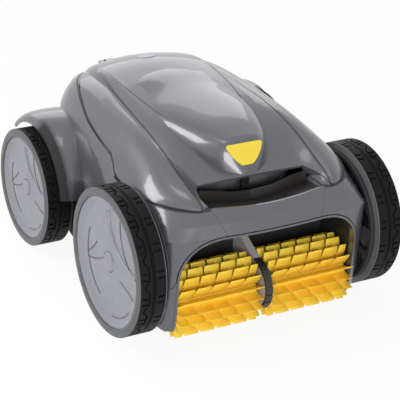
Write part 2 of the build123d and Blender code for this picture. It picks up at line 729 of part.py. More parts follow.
def suction_flap():
    """Valve disc that keeps the debris in the basket when the pump stops."""
    flap = along_z(NECK_R - 2, 135.2, 137.2, 0, NECK_Y) + block(-8, 8, NECK_Y + 15, FLAP_Y, 135.2, 137.2)
    flap += along_x(3, -8, 8, FLAP_Y, FLAP_Z)
    return flap - along_x(1.5 + RUNNING, -20, 20, FLAP_Y, FLAP_Z)


def gearbox():
    """Closed gear case on the left, between the motor block and the side plate."""
    case = prism_x(((-92, 50), (-92, 96), (-70, 104), (70, 104), (104, 96), (104, 60), (70, 40),
                    (-70, 40)), -145.4, -111.5)
    for y, z in ((FRONT_DRIVE_Y, FRONT_DRIVE_Z), (REAR_DRIVE_Y, REAR_DRIVE_Z)):
        case -= along_x(4 + RUNNING, -160, -125, y, z)
    return fillet(case.edges().filter_by(Axis.X), 5)


def motor_screws():
    """Four screws up through the deck into the motor block."""
    screws = Part()
    for x in (-90, 90):
        for y in (-18, 74):
            screws += along_z(4.5, DECK_Z - 2.5, DECK_Z, x, y)
            screws += along_z(2, DECK_Z, DECK_Z + 18, x, y)
    return screws


def motor_block():
    """Sealed drive and pump motor housing with cooling ribs and two rails for the basket."""
    body = block(-111.5, 111.5, -40, 96, DECK_Z + DECK_THICK + 3, 104)
    body = fillet(body.edges().filter_by(Axis.X), 9)
    for i in range(6):
        x = -75 + 30 * i
        top = BASKET_LOW if i in (0, 5) else 107
        body += block(x - 2, x + 2, -28, 84, 103, top)
    body += along_y(20, 95, 182, 0, OUTLET_Z) - along_y(4 + RUNNING, 150, 190, 0, OUTLET_Z)
    return body - motor_screws()


# ---- propeller and outlet ---------------------------------------------------------------------
def propeller():
    """Three-blade pump wheel on its shaft along Y."""
    hub = along_y(11, 186, 206, 0, OUTLET_Z) + along_y(4, 152, 187, 0, OUTLET_Z)
    blade_low = Plane((0, 196, 9), x_dir=(0.62, 0.78, 0), z_dir=(0, 0, 1)) * Rectangle(20, 2.4)
    blade_high = Plane((0, 196, 38), x_dir=(0.9, 0.43, 0), z_dir=(0, 0, 1)) * Rectangle(30, 1.6)
    blade = loft([blade_low, blade_high])
    hub = Pos(0, 0, -OUTLET_Z) * hub
    for i in range(3):
        hub += blade.rotate(Axis.Y, 120 * i)
    return Pos(0, 0, OUTLET_Z) * hub


def outlet_duct():
    """Round duct round the propeller, held on the motor nose by three vanes."""
    ring = along_y(OUTLET_R, 172, 225.5, 0, 0) - along_y(OUTLET_R - 2.5, 170, 240, 0, 0)
    vane = block(-1.5, 1.5, 172, 182, 19.9, OUTLET_R - 1)
    for i in range(3):
        ring += vane.rotate(Axis.Y, 60 + 120 * i)
    return Pos(0, 0, OUTLET_Z) * ring - along_y(20, 170, 190, 0, OUTLET_Z)


def outlet_grille():
    """Guard of rings and spokes over the outlet, seated on the rear wall."""
    grille = along_y(OUTLET_R + 7, 222, 237, 0, 0) - along_y(OUTLET_R - 1, 220, 240, 0, 0)
    for radius in (14, 28):
        grille += along_y(radius + 1.5, 234, 237, 0, 0) - along_y(radius - 1.5, 230, 240, 0, 0)
    for i in range(6):
        grille += block(-1.5, 1.5, 234, 237, 12, OUTLET_R).rotate(Axis.Y, 60 * i)
    return Pos(0, 0, OUTLET_Z) * grille - body_form(0)


def cable_gland():
    """Hexagonal gland in the rear wall with the bore that the cable enters by."""
    flange = extrude(Plane((CABLE_X, 220, CABLE_Z), z_dir=(0, 1, 0)) * RegularPolygon(11, 6), 19.5)
    gland = flange - body_form(0) + along_y(CABLE_R + 3.8, 218, 238, CABLE_X, CABLE_Z)
    return gland - along_y(CABLE_R, 200, 260, CABLE_X, CABLE_Z)


def gland_nut():
    """Nut that clamps the gland from inside the rear wall."""
    nut = extrude(Plane((CABLE_X, 222, CABLE_Z), z_dir=(0, 1, 0)) * RegularPolygon(11, 6), 18)
    return (nut & body_form(WALL)) - along_y(CABLE_R + 3.8, 200, 260, CABLE_X, CABLE_Z)


# ---- filter -----------------------------------------------------------------------------------
BASKET_LOW, BASKET_TOP = 112.0, 196.0


def basket_block(grow, z_from, z_to):
    low = Pos(0, -8, z_from) * RectangleRounded(184 + 2 * grow, 206 + 2 * grow, 18 + grow)
    high = Pos(0, -8, z_to) * RectangleRounded(196 + 2 * grow, 218 + 2 * grow, 20 + grow)
    return loft([low, high])


def filter_basket():
    """Lift-out debris basket with a window in each wall and a neck opening in its floor."""
    basket = basket_block(0, BASKET_LOW, BASKET_TOP)
    basket -= basket_block(-2.5, BASKET_LOW + 2.5, BASKET_TOP + 1)
    rim = Pos(0, -8, BASKET_TOP - 3) * extrude(
        RectangleRounded(206, 228, 24) - RectangleRounded(190, 212, 18), 3)
    basket += rim
    for x in (-48, 48):
        basket -= block(x - 36, x + 36, -160, 160, 128, 184)
    for y in (-60, 44):
        basket -= block(-140, 140, y - 40, y + 40, 128, 184)
    return basket - along_z(NECK_R, 100, 140, 0, NECK_Y)


def filter_mesh():
    """Fine mesh liner inside the basket."""
    liner = basket_block(-2.6, BASKET_LOW + 2.5, BASKET_TOP + 1)
    liner -= basket_block(-3.6, BASKET_LOW + 2.5, BASKET_TOP + 1)
    return liner & block(-200, 200, -200, 200, BASKET_LOW + 6, BASKET_TOP - 4)


def filter_lid():
    """Lid of the basket with a folding-bail boss and a finger bar."""
    lid = Pos(0, -8, BASKET_TOP) * extrude(RectangleRounded(206, 228, 24), 2.5)
    bar = block(-45, 45, -14, -4, BASKET_TOP + 2, BASKET_TOP + 12)
    bar -= block(-36, 36, -20, 4, BASKET_TOP + 2.5, BASKET_TOP + 8)
    return lid + bar


# ---- carry handle -----------------------------------------------------------------------------
# Place across the machine, then y and z of the rear edge, of the fold and of the front edge.
HANDLE_STATIONS = (
    (-88, -159, 207, -165, 192, -206, 200.6), (-62, -158, 203.5, -165, 187, -208.5, 198.4),
    (-33, -156, 194.5, -164, 181, -211, 196.8), (0, -151, 189.5, -160, 178, -211.5, 196.2),
    (33, -156, 194.5, -164, 181, -211, 196.8), (62, -158, 203.5, -165, 187, -208.5, 198.4),
    (88, -159, 207, -165, 192, -206, 200.6),
)
HANDLE_THICK = 5.0


def front_handle():
    """Moulded carry bar between the front points of the hood: a lip, a fold and a floor."""
    sections = []
    for x, rear_y, rear_z, fold_y, fold_z, front_y, front_z in HANDLE_STATIONS:
        under = fold_z - HANDLE_THICK
        sections.append(make_face(Polyline(
            (x, rear_y, under), (x, rear_y, rear_z - 1.5), (x, rear_y - 1.5, rear_z),
            (x, rear_y - 3, rear_z), (x, fold_y, fold_z), (x, front_y, front_z),
            (x, front_y, front_z - HANDLE_THICK), (x, fold_y, under), close=True)))
    bar = loft(sections, ruled=True)
    return bar & (body_form(WALL + SEAM_GAP) + block(-94, 94, -200, -150, 150, 230))


# ---- latch ------------------------------------------------------------------------------------
BUTTON_PROUD = 1.5
BUTTON_BACK = -6.0
LEG_HALF = 6.0
SPRING_R = 7.0
SEAT_DEPTH = -23.0


def latch_button():
    """Shield-shaped push button with grip ribs, and its guide stem."""
    cap = on_button(button_outline(0), BUTTON_BACK, BUTTON_PROUD - BUTTON_BACK)
    face_edges = cap.edges().group_by(Axis(BUTTON_CENTRE, BUTTON_OUT))[-1]
    cap = chamfer(face_edges, 0.8)
    for rise, half in ((8, 20), (3.5, 18), (-1, 14), (-5.5, 10)):
        groove = Pos(0, rise) * Rectangle(2 * half, 1.4)
        cap -= on_button(groove, BUTTON_PROUD - 0.6, 2)
    stem = BUTTON_PLANE * Pos(0, 0, SEAT_DEPTH - 6) * extrude(
        Circle(STEM_R), BUTTON_BACK - SEAT_DEPTH + 6)
    return cap + stem


def latch_leg():
    """Leg below the button whose tooth reaches behind the lip of the handle."""
    leg = prism_x(((-141, 230), (-137, 230), (-137, 180), (-146, 180), (-146, 183), (-141, 183)),
                  -LEG_HALF, LEG_HALF)
    return leg - on_button(Rectangle(80, 80), BUTTON_BACK, 40)


def latch_spring():
    """Coil spring between the button and its seat in the hood."""
    rise = BUTTON_BACK - SEAT_DEPTH - 2.0
    coil = Helix(pitch=rise / 4, height=rise, radius=SPRING_R)
    wire = sweep(Plane(coil @ 0, z_dir=coil % 0) * RegularPolygon(0.7, 6), path=coil)
    return BUTTON_PLANE * Pos(0, 0, SEAT_DEPTH + 1.0) * wire


def latch_cup(outer):
    """Guide walls and spring seat behind the button, part of the hood."""
    cup = on_button(button_outline(3.0), SEAT_DEPTH - 3, -SEAT_DEPTH + 3) & outer
    cup -= on_button(button_outline(0.5), SEAT_DEPTH, 60)
    cup -= BUTTON_PLANE * Pos(0, 0, SEAT_DEPTH - 9) * extrude(Circle(STEM_R + RUNNING), 12)
    return cup


def top_inlay():
    """Blank oval inlay on the crown of the hood."""
    oval = Pos(0, 174, 200) * extrude(Ellipse(16, 11), 100)
    return oval & (hood_form(-0.7) - hood_form(0.0))


# ---- assembly ---------------------------------------------------------------------------------
def axle_pins():
    pins = axle_pin(FRONT_AXLE_Y, FRONT_R) + axle_pin(REAR_AXLE_Y, REAR_R)
    return pins + mirror_x(pins)


def hinge_pins():
    reach = LUG_HALF + 8.5
    return along_x(HINGE_PIN_R, -LUG_X - reach, -LUG_X + reach, HINGE_Y, HINGE_Z) + along_x(
        HINGE_PIN_R, LUG_X - reach, LUG_X + reach, HINGE_Y, HINGE_Z)


def flap_pin():
    return along_x(1.5, -15, 15, FLAP_Y, FLAP_Z)


def mesh_turn(y, z, axle_y, axle_z, ring_count, tooth_angle):
    """Turns a pinion so that one of its teeth stands in a gap of the ring."""
    direction = degrees(atan2(z - axle_z, y - axle_y))
    ring_pitch = 360 / ring_count
    off_gap = (direction / ring_pitch) % 1.0
    return direction - off_gap * ring_pitch * ring_count / PINION_TEETH + tooth_angle


def place_pinion(shape, y, z, axle_y, axle_z, ring_count):
    turn = mesh_turn(y, z, axle_y, axle_z, ring_count, 180 / PINION_TEETH)
    return Pos(0, y, z) * shape.rotate(Axis.X, turn)


def both_sides(name, shape):
    """The left piece and its mirror image, named for their sides."""
    return {f"{name}_left": shape, f"{name}_right": mirror_x(shape)}


def pieces():
    """Every node of the machine, by name."""
    made = {}
    left, right, rear, front = body_shells()
    made |= {"side_shell_left": left, "side_shell_right": right}
    made |= {"rear_shell": rear_shell_with_hinge(rear), "front_panel": front}
    made |= {"front_handle": front_handle(), "brush_housing": brush_housing()}
    made |= {"mouth_trim": mouth_trim()}
    made |= {"brush_divider": brush_divider(), "divider_ring": divider_ring()}
    made |= {"lower_chassis": lower_chassis() - motor_screws(), "suction_neck": suction_neck()}
    made |= both_sides("side_frame", side_frame()) | both_sides("gearbox", gearbox())
    made |= {"motor_block": motor_block(), "motor_screws": motor_screws()}
    made |= {"outlet_duct": outlet_duct(), "outlet_grille": outlet_grille()}
    made |= {"filter_basket": filter_basket(), "filter_mesh": filter_mesh()}
    made |= {"filter_lid": filter_lid(), "cable_gland": cable_gland(), "gland_nut": gland_nut()}
    made |= {"axle_pins": axle_pins(), "hinge_pins": hinge_pins(), "flap_pin": flap_pin()}
    made |= {"hood": hood(), "top_inlay": top_inlay(), "latch_button": latch_button()}
    made |= {"latch_leg": latch_leg(), "latch_spring": latch_spring()}
    made |= {"suction_flap": suction_flap(), "propeller": propeller()}
    for end, axle_y, radius, teeth in (
        ("front", FRONT_AXLE_Y, FRONT_R, FRONT_RING_TEETH),
        ("rear", REAR_AXLE_Y, REAR_R, REAR_RING_TEETH),
    ):
        at_axle = Pos(0, axle_y, radius)
        made |= both_sides(f"tyre_{end}", at_axle * tyre(radius))
        made |= both_sides(f"hub_{end}", at_axle * wheel_hub(radius, teeth))
        made |= both_sides(f"hubcap_{end}", at_axle * hubcap(radius))
    front_drive = place_pinion(drive_pinion(), FRONT_DRIVE_Y, FRONT_DRIVE_Z, FRONT_AXLE_Y, FRONT_R,
                               FRONT_RING_TEETH)
    rear_drive = place_pinion(drive_pinion(), REAR_DRIVE_Y, REAR_DRIVE_Z, REAR_AXLE_Y, REAR_R,
                              REAR_RING_TEETH)
    made |= both_sides("drive_pinion_front", front_drive)
    made |= both_sides("drive_pinion_rear", rear_drive)
    at_brush = Pos(0, BRUSH_Y, BRUSH_Z)
    made |= both_sides("brush_sleeve", at_brush * brush_sleeve())
    made |= both_sides("brush_core", at_brush * brush_core())
    made |= both_sides("brush_pinion", place_pinion(
        brush_pinion(), BRUSH_Y, BRUSH_Z, FRONT_AXLE_Y, FRONT_R, FRONT_RING_TEETH))
    return made


def main():
    os.makedirs("parts", exist_ok=True)
    for name, shape in pieces().items():
        export_step(shape, f"parts/{name}.step")


main()
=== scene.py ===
from math import atan2, cos, hypot, pi, radians, sin

import bmesh
import bpy
from mathutils import Matrix, Vector


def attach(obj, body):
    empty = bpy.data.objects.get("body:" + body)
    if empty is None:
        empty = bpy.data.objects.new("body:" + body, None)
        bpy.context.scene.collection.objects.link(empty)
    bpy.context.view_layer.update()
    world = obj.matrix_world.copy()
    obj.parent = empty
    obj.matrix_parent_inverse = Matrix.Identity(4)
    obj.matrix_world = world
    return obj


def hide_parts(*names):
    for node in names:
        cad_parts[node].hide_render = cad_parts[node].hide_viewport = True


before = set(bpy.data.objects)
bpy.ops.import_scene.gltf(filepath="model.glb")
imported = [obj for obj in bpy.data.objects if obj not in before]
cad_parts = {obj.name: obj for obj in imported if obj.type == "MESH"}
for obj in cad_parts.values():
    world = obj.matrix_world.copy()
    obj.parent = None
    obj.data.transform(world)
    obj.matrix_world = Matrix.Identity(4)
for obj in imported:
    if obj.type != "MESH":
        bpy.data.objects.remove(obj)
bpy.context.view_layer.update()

# ---- sizes of the machine, in metres ----------------------------------------------------------
WHEEL_OUT = 0.215
TYRE_WIDTH = 0.044
FRONT_R, REAR_R = 0.107, 0.0905
FRONT_AXLE = Vector((0, -0.133, FRONT_R))
REAR_AXLE = Vector((0, 0.1495, REAR_R))
TYRE_DEPTH = 0.0105
SHADE_WELL_R = 0.1125                  # radius of the painted shade over the wheel opening round the rear axle
SHADE_WELL_SIDE = 0.150                # the painted shade starts this far out
SHADE_WELL_BACK = 0.150                # and only ahead of this
CREASE_BACK, TONGUE_FRONT = 0.155, -0.030    # where the hood's painted crease shade ends
CREASE_HALF, TONGUE_HALF = 0.0021, 0.0018    # half widths of the painted shade lines on the hood's creases
# half widths of the painted shade along the seam, on the hood and on the side shells
EDGE_HALF, SHELL_HALF = 0.0030, 0.0014
BRUSH_AXLE = Vector((0, -0.18453, 0.05251))
BRUSH_IN, BRUSH_OUT = 0.009, 0.141
BRUSH_ROOT_R, BRUSH_TIP_R = 0.024, 0.0505


# ---- shader maths -----------------------------------------------------------------------------
class Value:
    """A shader socket that can be added, multiplied and compared in Python."""

    def __init__(self, paint, socket):
        self.paint, self.socket = paint, socket

    def _math(self, operation, first, second):
        return self.paint.node("ShaderNodeMath", {"operation": operation}, {0: first, 1: second})

    def __add__(self, other):
        return self._math("ADD", self, other)

    def __radd__(self, other):
        return self._math("ADD", other, self)

    def __sub__(self, other):
        return self._math("SUBTRACT", self, other)

    def __rsub__(self, other):
        return self._math("SUBTRACT", other, self)

    def __mul__(self, other):
        return self._math("MULTIPLY", self, other)

    def __rmul__(self, other):
        return self._math("MULTIPLY", other, self)

    def __gt__(self, other):
        return self._math("GREATER_THAN", self, other)

    def __abs__(self):
        return self._math("ABSOLUTE", self, 0.0)

    def held(self):
        """Kept between 0 and 1."""
        return self._math("MINIMUM", self._math("MAXIMUM", self, 0.0), 1.0)


class Paint:
    """A new node material with one Principled shader."""

    def __init__(self, name):
        self.material = bpy.data.materials.new(name)
        self.material.use_nodes = True
        self.tree = self.material.node_tree
        self.shader = self.tree.nodes["Principled BSDF"]

    def node(self, kind, settings=None, inputs=None, output=0):
        """Adds a node, sets it up and returns one of its outputs."""
        made = self.tree.nodes.new(kind)
        for key, value in (settings or {}).items():
            if key == "stops":
                ramp = made.color_ramp
                while len(ramp.elements) < len(value):
                    ramp.elements.new(0.5)
                for element, (place, colour) in zip(ramp.elements, value):
                    element.position, element.color = place, colour
            else:
                setattr(made, key, value)
        for key, value in (inputs or {}).items():
            if isinstance(value, Value):
                self.tree.links.new(value.socket, made.inputs[key])
            else:
                made.inputs[key].default_value = value
        return Value(self, made.outputs[output])

    def place(self):
        return self.node("ShaderNodeTexCoord", output="Object")

    def axes(self):
        """The three object coordinates, as numbers."""
        split = self.node("ShaderNodeSeparateXYZ", inputs={0: self.place()})
        return [Value(self, split.socket.node.outputs[axis]) for axis in range(3)]

    def noise(self, scale, detail=3.0):
        """Cloudy pattern between 0 and 1, with scale in cycles to a metre."""
        return self.node("ShaderNodeTexNoise", inputs={
            "Scale": scale, "Detail": detail, "Vector": self.place()})

    def mix(self, share, low, high):
        """Colour between low and high by share."""
        return self.node("ShaderNodeMix", {"data_type": "RGBA"}, {0: share, 6: low, 7: high}, 2)

    def bump(self, height, strength, distance):
        """Fine relief, with distance in metres."""
        bump = self.node("ShaderNodeBump", inputs={
            "Height": height, "Strength": strength, "Distance": distance})
        self.feed("Normal", bump)

    def feed(self, socket, value):
        """Sets a socket of the shader to a number, a colour or a linked value."""
        if isinstance(value, Value):
            self.tree.links.new(value.socket, self.shader.inputs[socket])
        else:
            self.shader.inputs[socket].default_value = value


def moulded(name, colour, lighter, roughness, grain=900.0, bump=0.06, **constants):
    """Injection-moulded plastic: faint mottling, fine grain and uneven gloss."""
    paint = Paint(name)
    cloud = paint.noise(14.0, 4.0)
    paint.feed("Base Color", paint.mix(cloud, (*colour, 1), (*lighter, 1)))
    fine = paint.noise(grain, 2.0)
    paint.feed("Roughness", roughness - 0.05 + 0.1 * paint.noise(40.0))
    paint.bump(fine, bump, 0.0004)
    for socket, value in constants.items():
        paint.feed(socket.replace("_", " "), value)
    return paint.material


def body_paint(name, painted_shade_lines=None):
    """Glossy graphite plastic with a fine metal flake, and painted shade lines with a fine groove
    relief where asked.
    """
    paint = Paint(name)
    flake = paint.node("ShaderNodeTexVoronoi", {"feature": "F1"},
                       {"Vector": paint.place(), "Scale": 2200.0}, "Color")
    sparkle = paint.node("ShaderNodeSeparateColor", inputs={"Color": flake})
    cloud = paint.noise(6.0, 3.0)
    base = paint.mix(cloud, (0.081, 0.081, 0.094, 1), (0.093, 0.093, 0.107, 1))
    colour = paint.mix(0.10 * sparkle, base, (0.30, 0.30, 0.32, 1))
    gloss = 0.30 + 0.05 * paint.noise(30.0)
    if painted_shade_lines:
        # Painted shade: the lines turn near black, matt and uncoated, and the bump gives them a
        # fine groove.
        painted_groove_shade = painted_shade_lines(paint)
        colour = paint.mix(painted_groove_shade, colour, (0.004, 0.004, 0.005, 1))
        paint.bump(1.0 - painted_groove_shade, 0.8, 0.0006)
        paint.feed("Coat Weight", 0.7 - 0.7 * painted_groove_shade)
        paint.feed("Metallic", 0.35 - 0.35 * painted_groove_shade)
        gloss = gloss + 0.45 * painted_groove_shade
    else:
        paint.feed("Coat Weight", 0.7)
        paint.feed("Metallic", 0.35)
    paint.feed("Base Color", colour)
    paint.feed("Roughness", gloss)
    paint.feed("Coat Roughness", 0.06)
    return paint.material


def near(distance, half_width):
    """1 on a line, fading to 0 at half_width from it."""
    return (2.0 - 2.0 / half_width * abs(distance)).held()


def over_seam(paint, back, up):
    """Height above the seam between the hood and the body."""
    low, high = SEAM[0][0], SEAM[-1][0]
    stops = [((at - low) / (high - low), (h, h, h, 1)) for at, h in SEAM]
    ramp = paint.node("ShaderNodeValToRGB", {"stops": stops},
                      {"Fac": (back - low) * (1 / (high - low))})
    return up - paint.node("ShaderNodeSeparateColor", inputs={"Color": ramp})


def hood_painted_shade(paint):
    """Painted shade along the creases beside the tongue and the shoulders, and along the seam at
    the hood's lower edge.
    """
    across, back, up = paint.axes()
    across = abs(across)
    shoulder = 0.104 - 0.0615 * back - 0.301 * back * back
    tongue = 0.0713 + 0.1678 * back - 0.754 * back * back
    ahead = (20.0 * (CREASE_BACK - back)).held()
    behind = (30.0 * (back - TONGUE_FRONT)).held()
    painted_shade_lines = 0.7 * near(across - shoulder, CREASE_HALF) * ahead
    painted_shade_lines = painted_shade_lines + 0.5 * near(across - tongue, TONGUE_HALF) * ahead * behind
    return (painted_shade_lines + near(over_seam(paint, back, up), EDGE_HALF)).held()


def shell_painted_shade(paint):
    """Painted shade along the seam at the side shells' upper edge, and over the shell round the
    rear wheel openings.
    """
    across, back, up = paint.axes()
    # Painted shade: a dark line along the seam, and dark paint over the shell round the rear wheel,
    # where the wheel well lies in shade.
    painted_seam_shade = 0.8 * near(over_seam(paint, back, up) + 0.0007, SHELL_HALF)
    ahead, above = back - REAR_AXLE.y, up - REAR_AXLE.z
    painted_well_shade = (2000.0 * (SHADE_WELL_R ** 2 - ahead * ahead - above * above)).held()
    return (painted_seam_shade + painted_well_shade * (abs(across) > SHADE_WELL_SIDE) * (50.0 * (SHADE_WELL_BACK - back)).held()).held()


def metal(name, colour, roughness):
    paint = Paint(name)
    streak = paint.noise(260.0, 2.0)
    paint.feed("Base Color", paint.mix(streak, (*colour, 1), (*[c * 1.15 for c in colour], 1)))
    paint.feed("Roughness", roughness + 0.12 * streak)
    paint.feed("Metallic", 1.0)
    return paint.material


def woven(name):
    """Fine filter mesh."""
    paint = Paint(name)
    wave = paint.node("ShaderNodeTexVoronoi", {"feature": "DISTANCE_TO_EDGE"},
                      {"Vector": paint.place(), "Scale": 900.0})
    paint.feed("Base Color", paint.mix(wave * 3.0, (0.30, 0.31, 0.32, 1), (0.12, 0.125, 0.13, 1)))
    paint.feed("Roughness", 0.6 + 0.2 * wave)
    paint.bump(wave, 0.4, 0.0003)
    return paint.material


# Height of the seam between the hood and the body, by distance from the middle.
SEAM = (
    (-0.26, 0.203), (-0.212, 0.201), (-0.170, 0.200), (-0.130, 0.198), (-0.080, 0.192),
    (-0.056, 0.192), (-0.044, 0.196), (-0.034, 0.204), (-0.018, 0.212), (0.021, 0.215),
    (0.076, 0.222), (0.118, 0.231), (0.161, 0.238), (0.26, 0.240),
)
BODY = body_paint("graphite_gloss")
# The hood's material carries painted shade along its creases and its lower seam.
HOOD = body_paint("graphite_hood_painted_shade", hood_painted_shade)
# The side shells' material carries painted shade along the seam and round the rear wheel openings.
SHELL = body_paint("graphite_shell_painted_shade", shell_painted_shade)
SIDEWALL = moulded("tyre_side_grey", (0.075, 0.078, 0.082), (0.095, 0.098, 0.102), 0.42, 1400.0)
CAP = moulded("smoked_satin_cap", (0.215, 0.215, 0.25), (0.25, 0.25, 0.285), 0.28, bump=0.02)
# Painted shade: thin dark ribs on the caps stand for the shade in the grooves of the relief.
CAP_SHADE_LINE = moulded("cap_rib_painted_shade", (0.07, 0.07, 0.085), (0.09, 0.09, 0.105), 0.35, bump=0.02)
RIM = moulded("rim_dark", (0.022, 0.022, 0.024), (0.032, 0.032, 0.034), 0.32)
RUBBER = moulded("tyre_rubber", (0.006, 0.006, 0.007), (0.010, 0.010, 0.011), 0.50, 1400.0, 0.12,
                 Specular_IOR_Level=0.10)
BRUSH = moulded("brush_elastomer", (0.93, 0.61, 0.05), (0.97, 0.68, 0.07), 0.5, 700.0, 0.08,
                Subsurface_Weight=0.25, Subsurface_Scale=0.004, Specular_IOR_Level=0.35)
BUTTON = moulded("button_yellow", (0.86, 0.65, 0.05), (0.90, 0.70, 0.08), 0.30, bump=0.02)
DARK = moulded("dark_moulding", (0.014, 0.013, 0.012), (0.020, 0.018, 0.017), 0.38,
               Specular_IOR_Level=0.25)
TRIM = moulded("warm_grey_trim", (0.40, 0.375, 0.365), (0.46, 0.43, 0.42), 0.42)
BLACK = moulded("black_plastic", (0.012, 0.012, 0.012), (0.02, 0.02, 0.02), 0.5)
DECK = moulded("deck_grey", (0.07, 0.07, 0.075), (0.09, 0.09, 0.095), 0.5)
GEAR = moulded("dark_gear", (0.035, 0.035, 0.038), (0.05, 0.05, 0.053), 0.42)
BASKET = moulded("basket_grey", (0.15, 0.155, 0.16), (0.18, 0.185, 0.19), 0.45)
INLAY = moulded("pale_blue_inlay", (0.34, 0.38, 0.46), (0.40, 0.46, 0.56), 0.25, bump=0.02)
STEEL = metal("stainless", (0.52, 0.52, 0.53), 0.25)
MESH = woven("filter_weave")

FINISH = {
    "hood": HOOD, "side_shell": SHELL, "rear_shell": BODY, "front_panel": BODY, "mouth_trim": BODY,
    "front_handle": DARK, "brush_housing": BLACK, "divider_ring": BLACK, "brush_divider": TRIM,
    "latch_button": BUTTON, "latch_leg": DARK, "latch_spring": STEEL, "hinge_pins": STEEL,
    "axle_pins": STEEL, "flap_pin": STEEL, "motor_screws": STEEL, "lower_chassis": DECK,
    "side_frame": DECK, "suction_neck": DECK, "outlet_duct": DECK, "outlet_grille": BLACK,
    "motor_block": BLACK, "gearbox": BLACK, "cable_gland": BLACK, "gland_nut": BLACK,
    "suction_flap": BLACK, "propeller": GEAR, "drive_pinion": GEAR, "brush_pinion": GEAR,
    "filter_basket": BASKET, "filter_lid": BASKET, "filter_mesh": MESH, "brush_core": BLACK,
    "brush_sleeve": BRUSH, "tyre": RUBBER, "hub": RIM, "hubcap": CAP, "top_inlay": INLAY,
}
for name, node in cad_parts.items():
    node.data.materials.clear()
    key = max((k for k in FINISH if name.startswith(k)), key=len)
    node.data.materials.append(FINISH[key])



# ---- modelling helpers ------------------------------------------------------------------------
def begin(name, material):
    """Names the primitive just added, gives it its finish and opens it in edit mode."""
    piece = bpy.context.object
    piece.name = name
    bpy.ops.object.transform_apply(location=True, rotation=True, scale=True)
    piece.data.materials.append(material)
    bpy.ops.object.mode_set(mode="EDIT")
    return piece


def pick(piece, kind, test):
    """Selects only the faces, edges or vertices of the open mesh that pass the test."""
    bpy.ops.mesh.select_mode(type=kind)
    bpy.ops.mesh.select_all(action="DESELECT")
    mesh = bmesh.from_edit_mesh(piece.data)
    group = {"VERT": mesh.verts, "EDGE": mesh.edges, "FACE": mesh.faces}[kind]
    for part in group:
        if test(part):
            part.select_set(True)
    mesh.select_flush_mode()
    bmesh.update_edit_mesh(piece.data)


def edge_ring(piece, x):
    """Selects the open border of a tube at one x."""
    pick(piece, "EDGE", lambda e: e.is_boundary and all(abs(v.co.x - x) < 1e-5 for v in e.verts))


def pull_ring(x_move, scale, centre):
    """Extrudes the selected border, then shifts it along x and scales it about the axle."""
    bpy.ops.mesh.extrude_edges_move(TRANSFORM_OT_translate={"value": (x_move, 0, 0)})
    bpy.ops.transform.resize(value=(1, scale, scale), center_override=centre)


def finished(piece, bevel=0.0, angle=35.0):
    """Closes edit mode, rounds the sharp edges and smooths the rest."""
    bpy.ops.mesh.select_all(action="SELECT")
    bpy.ops.mesh.remove_doubles(threshold=1e-6)
    bpy.ops.mesh.normals_make_consistent(inside=False)
    bpy.ops.object.mode_set(mode="OBJECT")
    if bevel:
        rounding = piece.modifiers.new("rounding", "BEVEL")
        rounding.width, rounding.segments = bevel, 1
        rounding.limit_method, rounding.angle_limit = "ANGLE", radians(angle)
        bpy.ops.object.modifier_apply(modifier=rounding.name)
    bpy.ops.object.shade_smooth_by_angle(angle=radians(angle))
    return piece


def mirrored(piece, name):
    """A copy of a left-hand piece for the right of the machine, with its own mesh."""
    bpy.ops.object.select_all(action="DESELECT")
    piece.select_set(True)
    bpy.context.view_layer.objects.active = piece
    bpy.ops.object.duplicate()
    copy = bpy.context.object
    copy.name = name
    bpy.ops.object.mode_set(mode="EDIT")
    bpy.ops.mesh.select_all(action="SELECT")
    bpy.ops.transform.mirror(constraint_axis=(True, False, False), center_override=(0, 0, 0))
    bpy.ops.mesh.normals_make_consistent(inside=False)
    bpy.ops.object.mode_set(mode="OBJECT")
    return copy


# ---- tyres ------------------------------------------------------------------------------------
STEPS = 24                       # steps of tread to one pitch
TREAD_DEPTH = 0.0030
SLITS = (1, 2, 7, 8)             # steps where a pair of short slits is cut
# Distances from the outer face: tread columns, in metres.
TREAD_COLUMNS = (
    0.0035, 0.0048, 0.0140, 0.0168, 0.0208, 0.0220, 0.0236, 0.0248, 0.0285, 0.0385, 0.0405)
WAVE_COLUMNS = (0.0140, 0.0168)
# Section of a shoulder, from the tread inwards: shift outwards and distance from the outline.
SHOULDER = ((0.0014, 0.0022), (0.0006, 0.0062), (-0.0008, 0.0100), (-0.0016, TYRE_DEPTH - 0.0004))
GROOVES = (3, 5, 7)              # tread columns that stay low
SLIT_COLUMNS = (2, 9)            # tread columns that the slits cut
WAVE = {step: 0.0060 * sin(pi * (step - 10) / 11) for step in range(11, 21)}


def step_of(place, axle, pitches):
    """Step round the tread, 0 to STEPS, at a place."""
    turn = atan2(place.z - axle.z, place.y - axle.y) / (2 * pi) * pitches
    return (turn % 1.0) * STEPS


